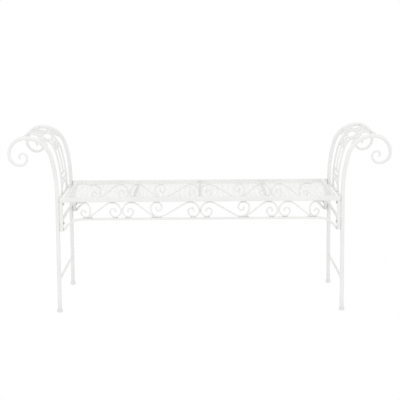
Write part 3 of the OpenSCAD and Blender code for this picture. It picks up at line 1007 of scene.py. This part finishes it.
@dataclass
class Aprons(Builder):
    """Lower rails and scrolls under the front and rear seat rails.

    Attributes:
        rail_d: Diameter of the lower rails.
        drop: Distance from the seat tray down to the lower rails' axis.
        end_bend: Radius and turn of the lower rails' ends.
        bar_d: Diameter of the scroll bar.
        outer_r: Outer quarter radius of an S-scroll, a C-scroll and an end scroll.
        curl: Radii of the quarter inside a scroll's ring, the quarter after it and the scroll's end.
        curl_turn: Turn of the scroll's end.
        s_shape: Slope and end radius of an S-scroll's straight.
        c_shape: Slope and top radius of a C-scroll's straight.
        end_ring_r: Radius of an end scroll's lower half turn.
        end_lead: Straight lead of an end scroll.
        gap: Clearance between pieces that seat on each other.
        rail_piece: Greatest length of one piece of a lower rail.
        rail_sides: Sides of a lower rail.
        scroll_piece: Greatest length of one piece of a scroll.
        scroll_sides: Sides of a scroll's bar.
    """

    rail_d: float = 9.5 * MM
    drop: float = 68 * MM
    end_bend: tuple[float, float] = (82 * MM, 60.0)
    bar_d: float = 6 * MM
    outer_r: tuple[float, float, float] = (33 * MM, 34 * MM, 26 * MM)
    curl: tuple[float, float, float] = (20 * MM, 13 * MM, 9 * MM)
    curl_turn: float = 120.0
    s_shape: tuple[float, float] = (30.0, 50 * MM)
    c_shape: tuple[float, float] = (38.0, 45 * MM)
    end_ring_r: float = 18 * MM
    end_lead: float = 20 * MM
    gap: float = 0.3 * MM
    rail_piece: float = 100 * MM
    rail_sides: int = 16
    scroll_piece: float = 20 * MM
    scroll_sides: int = 12

    def __post_init__(self) -> None:
        """Works out the scrolls' paths from the room between the rails."""
        rail_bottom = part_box("seat_front_rail")[0].z
        self.apron_z = rail_bottom - self.drop
        self.top = rail_bottom - self.gap - self.bar_d / 2
        self.bottom = self.apron_z + self.rail_d / 2 + self.gap + self.bar_d / 2
        rise = self.top - self.bottom
        s_outer, c_outer, end_outer = self.outer_r
        inner, curl, eye = self.curl
        ring_end = (Step(inner, -90.0), Step(curl, -90.0), Step(eye, -self.curl_turn))
        slope, neck = self.s_shape
        sin, cos = sin_cos(slope)
        straight = (rise - 2 * neck * (1 - cos)) / sin
        half = [*reversed(ring_end), Step(rise - s_outer, -90.0), Step(s_outer, -90.0)]
        s_top = self.bar_d / 2 + self.gap / 2 + s_outer
        s_bottom = s_top + 2 * neck * sin + straight * cos
        steps = (*half, Step(neck, -slope), Step(straight), Step(neck, slope), *turned_back(half))
        s_path = Path(steps, heading=self.curl_turn).through(5, (s_top, self.top))
        slope, neck = self.c_shape
        sin, cos = sin_cos(slope)
        neck_z = self.top - neck * (1 - cos)
        reach = self.bar_d + self.gap
        neck_x = s_bottom + (s_outer + reach + cos * (neck_z - self.bottom - s_outer)) / sin
        c_top = neck_x + neck * sin
        steps = (Step((neck_z - self.bottom) / sin), Step(neck, -slope), Step(c_outer, -90.0),
                 Step(rise - c_outer, -90.0), *ring_end)
        c_path = Path(steps, heading=slope).through(2, (c_top, self.top))
        mirror_x = c_top + c_outer + self.bar_d / 2 + self.gap / 2
        ring = self.end_ring_r
        ring_x = 2 * mirror_x - neck_x + (ring + reach + cos * (neck_z - self.bottom - ring)) / sin
        steps = (Step(self.end_lead), Step(end_outer, 90.0), Step(rise - end_outer - ring), Step(ring, 180.0),
                 Step(eye, 180.0))
        end_path = Path(steps, heading=180.0).through(1, (ring_x - ring + end_outer, self.top))
        self.kinds = (Scroll("s", s_path), Scroll("c", c_path), Scroll("wave", c_path, mirror_x),
                      Scroll("end", end_path))

    def scrolls(self, row: Row, kind: Scroll) -> None:
        """Builds a scroll and its mate at the other end of one apron.

        Args:
            row: Front or rear.
            kind: Kind of scroll.
        """
        y = row.value * Arms().leg_y
        samples = kind.path.samples(self.scroll_piece)
        bm = bmesh.new()
        for side in Side:
            spots = [(Vector((side.value * kind.out(p.x), y, p.y)), Vector((0.0, 1.0, 0.0))) for p in samples]
            add_bar(bm, spots, self.bar_d / 2, self.scroll_sides)
        node = f"{row.word}_{kind.word}_scrolls"
        self.piece(f"{node}_bars", bm, Finish.PAINT, node)

    def lower_rail(self, node: str) -> None:
        """Builds a lower rail with its turned-down ends.

        Args:
            node: CAD node that it stands for.
        """
        low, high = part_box(node)
        lengthwise = high.x - low.x > high.y - low.y
        reach = max(high.x - low.x, high.y - low.y) / 2
        centre = (low + high) / 2
        radius, turn = self.end_bend
        sin, cos = sin_cos(turn)
        bend_x, bend_z = radius * sin, radius * (1 - cos)
        # the box's ends are the bar's slanted tips, so its axis ends a little inside them
        tip = self.rail_d / 2 * sin
        half = reach - tip - bend_x
        path = Path((Step(radius, -turn), Step(2 * half), Step(radius, -turn)),
                    (-reach + tip, self.apron_z - bend_z), turn)
        normal = Vector((0.0, 1.0, 0.0)) if lengthwise else Vector((1.0, 0.0, 0.0))
        spots = []
        for place in path.samples(self.rail_piece):
            x, y = (place.x, centre.y) if lengthwise else (centre.x, place.x)
            spots.append((Vector((x, y, place.y)), normal))
        bm = bmesh.new()
        add_bar(bm, spots, self.rail_d / 2, self.rail_sides)
        self.piece(f"{node}_bar", bm, Finish.PAINT, node)

    def build(self) -> None:
        """Builds all rails and scrolls."""
        for word in EDGES:
            self.lower_rail(f"{word}_apron_rail")
        for row in Row:
            for kind in self.kinds:
                self.scrolls(row, kind)


@dataclass
class Welds(Builder):
    """Weld beads where bars lie against rails, posts, legs and each other; most are in a greyer coat that is
    painted shade for those crevices.

    Attributes:
        aprons: Sizes of the aprons.
        arms: Sizes of the arms.
        rail_bead: Radius and length of a bead between a scroll and a rail.
        rail_bead_off: How far that bead stands before or behind the scroll's axis, in bar diameters.
        rail_bead_sink: How far a bead under a seat rail lies below the rail, in bead radii.
        mate_bead: Radius and length of a bead between two bars that lie side by side.
        mate_bead_off: How far it stands before or behind the middle S-scrolls' axes, in bar diameters.
        band_bead_off: Distance of the beads on the upper band from the centre bar's axis, in bar radii.
        tip_bead: Radius and length of the bead at a lower rail's tip.
        tip_bead_in: How far that bead lies in from the tip, in bead radii.
        post_seam: Radius of the long painted seam between a corner post and its leg.
        post_seam_end: How far that seam stops short of the post's ends.
        post_seam_off: Distance of the two seams on a leg from its middle, in leg radii.
        post_bead: Radius of the coarser beads on that seam.
        upper_post_bead: Where the upper one starts below the seat, and its length.
        lower_post_bead: Where the lower one starts above the post's foot, and its length.
        collar: Width of the ring of weld round a bar's end.
        collar_shape: Outline of that ring, out from the bar's face and on past its end, in widths.
        collar_sides: Sides of that ring.
        drop_pitch: Greatest distance from one drop of a bead to the next, in bead radii.
        fewest_drops: Fewest drops in a bead.
        taper: Share of its radius that a bead keeps at its ends.
        ripple: Half the depth of the dips between drops, as a share of the radius.
        bead_sides: Sides of a bead.
    """

    aprons: Aprons
    arms: Arms
    rail_bead: tuple[float, float] = (1.7 * MM, 19 * MM)
    rail_bead_off: float = 0.42
    rail_bead_sink: float = 0.7
    mate_bead: tuple[float, float] = (1.3 * MM, 12 * MM)
    mate_bead_off: float = 0.3
    band_bead_off: float = 0.8
    tip_bead: tuple[float, float] = (3.6 * MM, 9 * MM)
    tip_bead_in: float = 0.4
    post_seam: float = 1.6 * MM
    post_seam_end: float = 2 * MM
    post_seam_off: float = 0.64
    post_bead: float = 2.2 * MM
    upper_post_bead: tuple[float, float] = (17 * MM, 14 * MM)
    lower_post_bead: tuple[float, float] = (22 * MM, 20 * MM)
    collar: float = 1.8 * MM
    collar_shape: tuple[tuple[float, float], ...] = (
        (-0.25, -1.1), (0.3, -0.8), (0.8, -0.3), (1.0, 0.1), (0.8, 0.4), (-0.25, 0.4))
    collar_sides: int = 20
    drop_pitch: float = 1.6
    fewest_drops: int = 3
    taper: float = 0.6
    ripple: float = 0.1
    bead_sides: int = 10

    def bead(self, bm: bmesh.types.BMesh, low: Vector, high: Vector, radius: float) -> None:
        """Adds one bead: a row of overlapping drops that thins out towards its ends.

        Args:
            bm: Mesh that it goes into.
            low: One end of the bead.
            high: Its other end.
            radius: Radius at its middle.
        """
        drops = math.ceil((high - low).length / (self.drop_pitch * radius))
        count = 2 * max(self.fewest_drops, drops)
        normal = (high - low).orthogonal()
        shares = [i / count for i in range(count + 1)]
        centres = [low.lerp(high, share) for share in shares]
        radii = []
        for i, share in enumerate(shares):
            swell = self.taper + (1 - self.taper) * math.sin(math.pi * share)
            radii.append(radius * swell * (1 - self.ripple + self.ripple * math.cos(math.pi * i)))
        add_tube(bm, centres, [normal] * len(centres), radii, self.bead_sides)

    def centred_bead(self, bm: bmesh.types.BMesh, centre: Vector, axis: int,
                     size: tuple[float, float]) -> None:
        """Adds a bead that runs along one of the bench's axes.

        Args:
            bm: Mesh that it goes into.
            centre: Middle of the bead.
            axis: 0 for X, 1 for Y or 2 for Z.
            size: Radius and length of the bead.
        """
        radius, length = size
        reach = Vector((0.0, 0.0, 0.0))
        reach[axis] = length / 2
        self.bead(bm, centre - reach, centre + reach, radius)

    def upright_bead(self, bm: bmesh.types.BMesh, spot: Vector, low: float, high: float,
                     radius: float) -> None:
        """Adds a bead that runs up from one height to another.

        Args:
            bm: Mesh that it goes into.
            spot: Place of the bead on the floor.
            low: Height of its lower end.
            high: Height of its upper end.
            radius: Radius of the bead.
        """
        self.bead(bm, spot + Vector((0, 0, low)), spot + Vector((0, 0, high)), radius)

    def ring(self, bm: bmesh.types.BMesh, end: Vector, outward: Vector, bar_r: float) -> None:
        """Adds a ring of weld round the end of a bar.

        Args:
            bm: Mesh that it goes into.
            end: Centre of the bar's end.
            outward: Direction in which the bar ends.
            bar_r: Radius of the bar.
        """
        profile = [(bar_r + out * self.collar, on * self.collar) for out, on in self.collar_shape]
        place = outward.to_track_quat("Z", "Y").to_matrix().to_4x4()
        place.translation = end
        add_lathe(bm, profile, place, self.collar_sides)

    def scroll_contacts(self, kind: Scroll) -> Iterable[tuple[float, bool]]:
        """Places where a scroll lies against a rail.

        Args:
            kind: Kind of scroll.

        Yields:
            X of the place, and whether it is at the upper rail.
        """
        a, path = self.aprons, kind.path
        place, heading = Vector(path.start), math.radians(path.heading)
        places = [place]
        for step in path.steps:
            if step.turn:
                places.append(step.after(place, heading, 0.5)[0])
            place, heading = step.after(place, heading)
            places.append(place)
        for place in places:
            for level, upper in ((a.top, True), (a.bottom, False)):
                if abs(place.y - level) < a.gap:
                    yield kind.out(place.x), upper

    def apron(self, row: Row) -> None:
        """Builds the beads of one apron.

        Args:
            row: Front or rear.
        """
        a = self.aprons
        y = row.value * self.arms.leg_y
        sink = self.rail_bead[0] * self.rail_bead_sink
        spots = [spot for kind in a.kinds for spot in self.scroll_contacts(kind)]
        bm = bmesh.new()
        for side in Side:
            for face in (-1.0, 1.0):
                for x, upper in spots:
                    z = a.top + a.bar_d / 2 - sink if upper else a.bottom - a.bar_d / 2
                    centre = Vector((side.value * x, y + face * a.bar_d * self.rail_bead_off, z))
                    self.centred_bead(bm, centre, 0, self.rail_bead)
        for face in (-1.0, 1.0):
            centre = Vector((0.0, y + face * a.bar_d * self.mate_bead_off, a.top - a.outer_r[0]))
            self.centred_bead(bm, centre, 2, self.mate_bead)
        # the beads' greyer coat paints the shade where the scrolls lie against the rails
        self.piece(f"{row.word}_apron_beads", bm, Finish.WELD)

    def lower_rail_tips(self) -> None:
        """Builds the beads where the lower rails' turned-down tips meet the corner posts."""
        a = self.aprons
        inset = self.tip_bead[0] * self.tip_bead_in
        bend_r, turn = a.end_bend
        z = a.apron_z - bend_r * (1 - sin_cos(turn)[1])
        bm = bmesh.new()
        for word in EDGES:
            low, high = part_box(f"{word}_apron_rail")
            axis = 0 if high.x - low.x > high.y - low.y else 1
            for end in (low, high):
                centre = (low + high) / 2
                centre[axis] = end[axis] + math.copysign(inset, centre[axis] - end[axis])
                centre.z = z
                self.centred_bead(bm, centre, 2, self.tip_bead)
        self.piece("lower_rail_tip_beads", bm, Finish.WELD)

    def post_seams(self) -> None:
        """Builds the seams between the corner posts and the legs, and the coarser beads on them."""
        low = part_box("front_corner_posts")[0]
        foot, top = low.z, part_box("seat_front_rail")[1].z
        x = abs(low.x) + self.post_seam
        upper, upper_l = top - self.upper_post_bead[0], self.upper_post_bead[1]
        lower, lower_l = foot + self.lower_post_bead[0], self.lower_post_bead[1]
        seams, beads = bmesh.new(), bmesh.new()
        for side in Side:
            for row in Row:
                for across in (-1.0, 1.0):
                    y = row.value * self.arms.leg_y + across * self.arms.leg_r * self.post_seam_off
                    spot = Vector((side.value * x, y, 0.0))
                    self.upright_bead(seams, spot, foot + self.post_seam_end, top - self.post_seam_end,
                                      self.post_seam)
                    self.upright_bead(beads, spot, upper, upper + upper_l, self.post_bead)
                    self.upright_bead(beads, spot, lower, lower + lower_l, self.post_bead)
        self.piece("post_seams", seams, Finish.PAINT)
        self.piece("post_weld_beads", beads, Finish.WELD)

    def cross_bars(self) -> None:
        """Builds the rings of weld where the bars across each end meet the legs."""
        bm = bmesh.new()
        for side in Side:
            for word in ("stretcher", "lower_side_rail", "seat_side_rail", "arm_cross_bar"):
                low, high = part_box(f"{side.word}_{word}")
                centre = (low + high) / 2
                for end, way in ((low.y, -1.0), (high.y, 1.0)):
                    spot = Vector((centre.x, end, centre.z))
                    self.ring(bm, spot, Vector((0.0, way, 0.0)), (high.z - low.z) / 2)
        self.piece("end_bar_weld_rings", bm, Finish.PAINT)

    def arm_panel(self, side: Side) -> None:
        """Builds the beads inside one arm panel.

        Args:
            side: End of the bench.
        """
        a = self.arms
        radius, length = self.mate_bead
        bm = bmesh.new()

        def along(at: float, across: float, size: float = length) -> None:
            """Adds a bead that runs up the arm, with its mate across the panel's middle.

            Args:
                at: Distance of its middle along the arm.
                across: Distance from the panel's middle, 0 for a bead without a mate.
                size: Length of the bead.
            """
            for mirror in (-1.0, 1.0) if across else (1.0,):
                ends = [a.on_arm(side, at + way * size / 2, mirror * across)[0] for way in (-1.0, 1.0)]
                self.bead(bm, *ends, radius)

        upright_y = a.upright[1] / 2
        for mirror in (-1.0, 1.0):
            foot = a.on_arm(side, a.upright_from, mirror * upright_y)[0]
            self.ring(bm, foot, Vector((0.0, 0.0, -1.0)), a.upright[0] / 2)
            head, normal = a.on_arm(side, a.upright_to, mirror * upright_y)
            self.ring(bm, head, Vector((0.0, 1.0, 0.0)).cross(normal) * side.value, a.upright[0] / 2)
        for at in (a.lower_band_at, a.upper_band_at):
            along(at, a.inner_y, a.bands[2])
        wishbone_foot = a.wishbone_path.at(a.wishbone_path.length)[0]
        along(wishbone_foot.x + length / 2, wishbone_foot.y + a.bar / 2)
        along(a.lower_band_at - a.bands[2] / 2 - length / 2, 0.0)
        along(a.upper_band_at + a.bands[2] / 2 + radius, a.bar / 2 * self.band_bead_off, 2 * radius)
        for path in (a.lower_curl, a.upper_curl):
            widest = max(path.samples(a.rolled_piece), key=lambda place: place.y)
            along(widest.x, widest.y + a.curl_bar / 2)
            along(path.at(path.steps[0].length)[0].x, 0.0)
        samples = a.outer_path.samples(a.rolled_piece)
        near, far = min(samples, key=lambda place: place.y), max(samples, key=lambda place: place.y)
        along(near.x, near.y - a.curl_bar / 2)
        along(far.x, far.y + a.curl_bar / 2)
        self.piece(f"{side.word}_arm_beads", bm, Finish.WELD)

    def build(self) -> None:
        """Builds every bead."""
        for row in Row:
            self.apron(row)
        self.lower_rail_tips()
        self.post_seams()
        self.cross_bars()
        for side in Side:
            self.arm_panel(side)


class CarriedNodes(Builder):
    """CAD nodes that stay as they are and only get their finish."""

    def build(self) -> None:
        """Dresses every CAD node in the finish of its slot."""
        plain = {finish.slot: finish for finish in Finish if finish is not Finish.WELD}
        finishes = {part["node"]: plain[part["material_slot"]] for part in frame["record"]["subparts"]}
        for node, obj in frame["nodes"].items():
            self.paints.dress(obj, finishes[node])
            LOG.info("%s: carried over in %s", node, finishes[node].slot)


# ---- Studio ----


@dataclass(frozen=True)
class Softbox:
    """Square lamp that points at the bench.

    Attributes:
        name: Name of the lamp.
        place: Where it hangs.
        size: Side of its square.
        power: Power in watts.
        aim: Point that it points at.
    """

    name: str
    place: tuple[float, float, float]
    size: float
    power: float
    aim: tuple[float, float, float] = (0.0, 0.0, 0.4)

    def hang(self) -> None:
        """Makes the lamp and hangs it."""
        data = bpy.data.lights.new(self.name, "AREA")
        data.size = self.size
        data.energy = self.power
        lamp = bpy.data.objects.new(self.name, data)
        lamp.location = self.place
        aim = Vector(self.aim) - Vector(self.place)
        lamp.rotation_euler = aim.to_track_quat("-Z", "Y").to_euler()
        bpy.context.scene.collection.objects.link(lamp)


@dataclass
class Studio:
    """Pale floor and soft light.

    Attributes:
        floor_size: Half size of the floor.
        floor_white: Linear grey of the floor.
        floor_rough: Roughness of the floor.
        glow: Share of the floor that is shown as plain white.
        world: Strength of the surrounding light.
        key: Large lamp beside the camera.
        fill: Lamp at the other side.
    """

    floor_size: float = 30.0
    floor_white: float = 0.9
    floor_rough: float = 0.9
    glow: float = 0.965
    world: float = 1.0
    key: Softbox = Softbox("front_softbox", (-1.0, -4.0, 2.6), 2.4, 14.0)
    fill: Softbox = Softbox("side_softbox", (2.4, -3.6, 1.6), 2.0, 6.0)

    def floor(self) -> None:
        """Lays the floor, which keeps a faint shadow."""
        bm = bmesh.new()
        s = self.floor_size
        bm.faces.new([bm.verts.new((x, y, 0.0)) for x, y in ((-s, -s), (s, -s), (s, s), (-s, s))])
        obj = mesh_object("studio_floor", bm)
        mat = bpy.data.materials.new("floor_white")
        mat.use_nodes = True
        tree = mat.node_tree
        shader = tree.nodes["Principled BSDF"]
        shader.inputs["Base Color"].default_value = (self.floor_white,) * 3 + (1.0,)
        shader.inputs["Roughness"].default_value = self.floor_rough
        shader.inputs["Specular IOR Level"].default_value = 0.0
        glow = tree.nodes.new("ShaderNodeEmission")
        mix = tree.nodes.new("ShaderNodeMixShader")
        seen = self._seen(tree)
        share = tree.nodes.new("ShaderNodeMath")
        share.operation = "MULTIPLY"
        share.inputs[1].default_value = self.glow
        tree.links.new(seen, share.inputs[0])
        tree.links.new(share.outputs[0], mix.inputs["Fac"])
        tree.links.new(shader.outputs["BSDF"], mix.inputs[1])
        tree.links.new(glow.outputs["Emission"], mix.inputs[2])
        tree.links.new(mix.outputs["Shader"], tree.nodes["Material Output"].inputs["Surface"])
        obj.data.materials.append(mat)

    @staticmethod
    def _seen(tree: bpy.types.NodeTree) -> bpy.types.NodeSocket:
        """Adds nodes that are 1 for rays from the camera and for mirror-like rays.

        Args:
            tree: Node tree that they go into.

        Returns:
            The socket with the result.
        """
        rays = tree.nodes.new("ShaderNodeLightPath")
        most = tree.nodes.new("ShaderNodeMath")
        most.operation = "MAXIMUM"
        tree.links.new(rays.outputs["Is Camera Ray"], most.inputs[0])
        tree.links.new(rays.outputs["Is Glossy Ray"], most.inputs[1])
        return most.outputs[0]

    def surroundings(self) -> None:
        """Sets an even grey world that is seen as white."""
        world = bpy.data.worlds.new("studio_world")
        bpy.context.scene.world = world
        world.use_nodes = True
        tree = world.node_tree
        light = tree.nodes["Background"]
        light.inputs["Color"].default_value = WHITE
        light.inputs["Strength"].default_value = self.world
        shown = tree.nodes.new("ShaderNodeBackground")
        shown.inputs["Color"].default_value = WHITE
        mix = tree.nodes.new("ShaderNodeMixShader")
        tree.links.new(self._seen(tree), mix.inputs["Fac"])
        tree.links.new(light.outputs["Background"], mix.inputs[1])
        tree.links.new(shown.outputs["Background"], mix.inputs[2])
        tree.links.new(mix.outputs["Shader"], tree.nodes["World Output"].inputs["Surface"])

    def build(self) -> None:
        """Builds the whole studio."""
        self.floor()
        self.surroundings()
        self.key.hang()
        self.fill.hang()
        bpy.context.scene.view_settings.view_transform = "Standard"


@dataclass
class StudioCamera:
    """Camera in front of the bench, a little above it.

    Attributes:
        distance: Distance from the front legs' plane.
        height: Height above the floor.
        across: X of the camera.
        pitch: Downward tilt in degrees.
        roll: Roll in degrees, negative lowers the bench's left end in the frame.
        lens: Focal length in millimetres.
        sensor: Width of the sensor in millimetres.
        shift: Vertical shift, which keeps the legs nearly upright in the frame.
    """

    distance: float = 3.70
    height: float = 1.157
    across: float = 0.0022
    pitch: float = 6.5
    roll: float = -0.418
    lens: float = 86.15
    sensor: float = 36.0
    shift: float = -0.1825

    def build(self) -> None:
        """Makes the camera and sets it as the scene's."""
        data = bpy.data.cameras.new("studio_camera")
        data.sensor_width = self.sensor
        data.lens = self.lens
        data.shift_y = self.shift
        camera = bpy.data.objects.new("studio_camera", data)
        camera.location = (self.across, -Arms().leg_y - self.distance, self.height)
        tilt = Matrix.Rotation(math.radians(90.0 - self.pitch), 4, "X")
        camera.rotation_euler = (tilt @ Matrix.Rotation(math.radians(self.roll), 4, "Z")).to_euler()
        bpy.context.scene.collection.objects.link(camera)
        bpy.context.scene.camera = camera


def main() -> None:
    """Builds the bench's looks, its studio and its camera."""
    logging.basicConfig(level=logging.INFO, format="%(name)s: %(message)s")
    paints = Paintbox()
    CarriedNodes(paints).build()
    arms = Arms()
    ArmBuilder(paints, arms).build()
    Feet(paints).build()
    SeatTray(paints).build()
    aprons = Aprons(paints)
    aprons.build()
    Welds(paints, aprons, arms).build()
    Studio().build()
    StudioCamera().build()


if __name__ == "__main__":
    main()
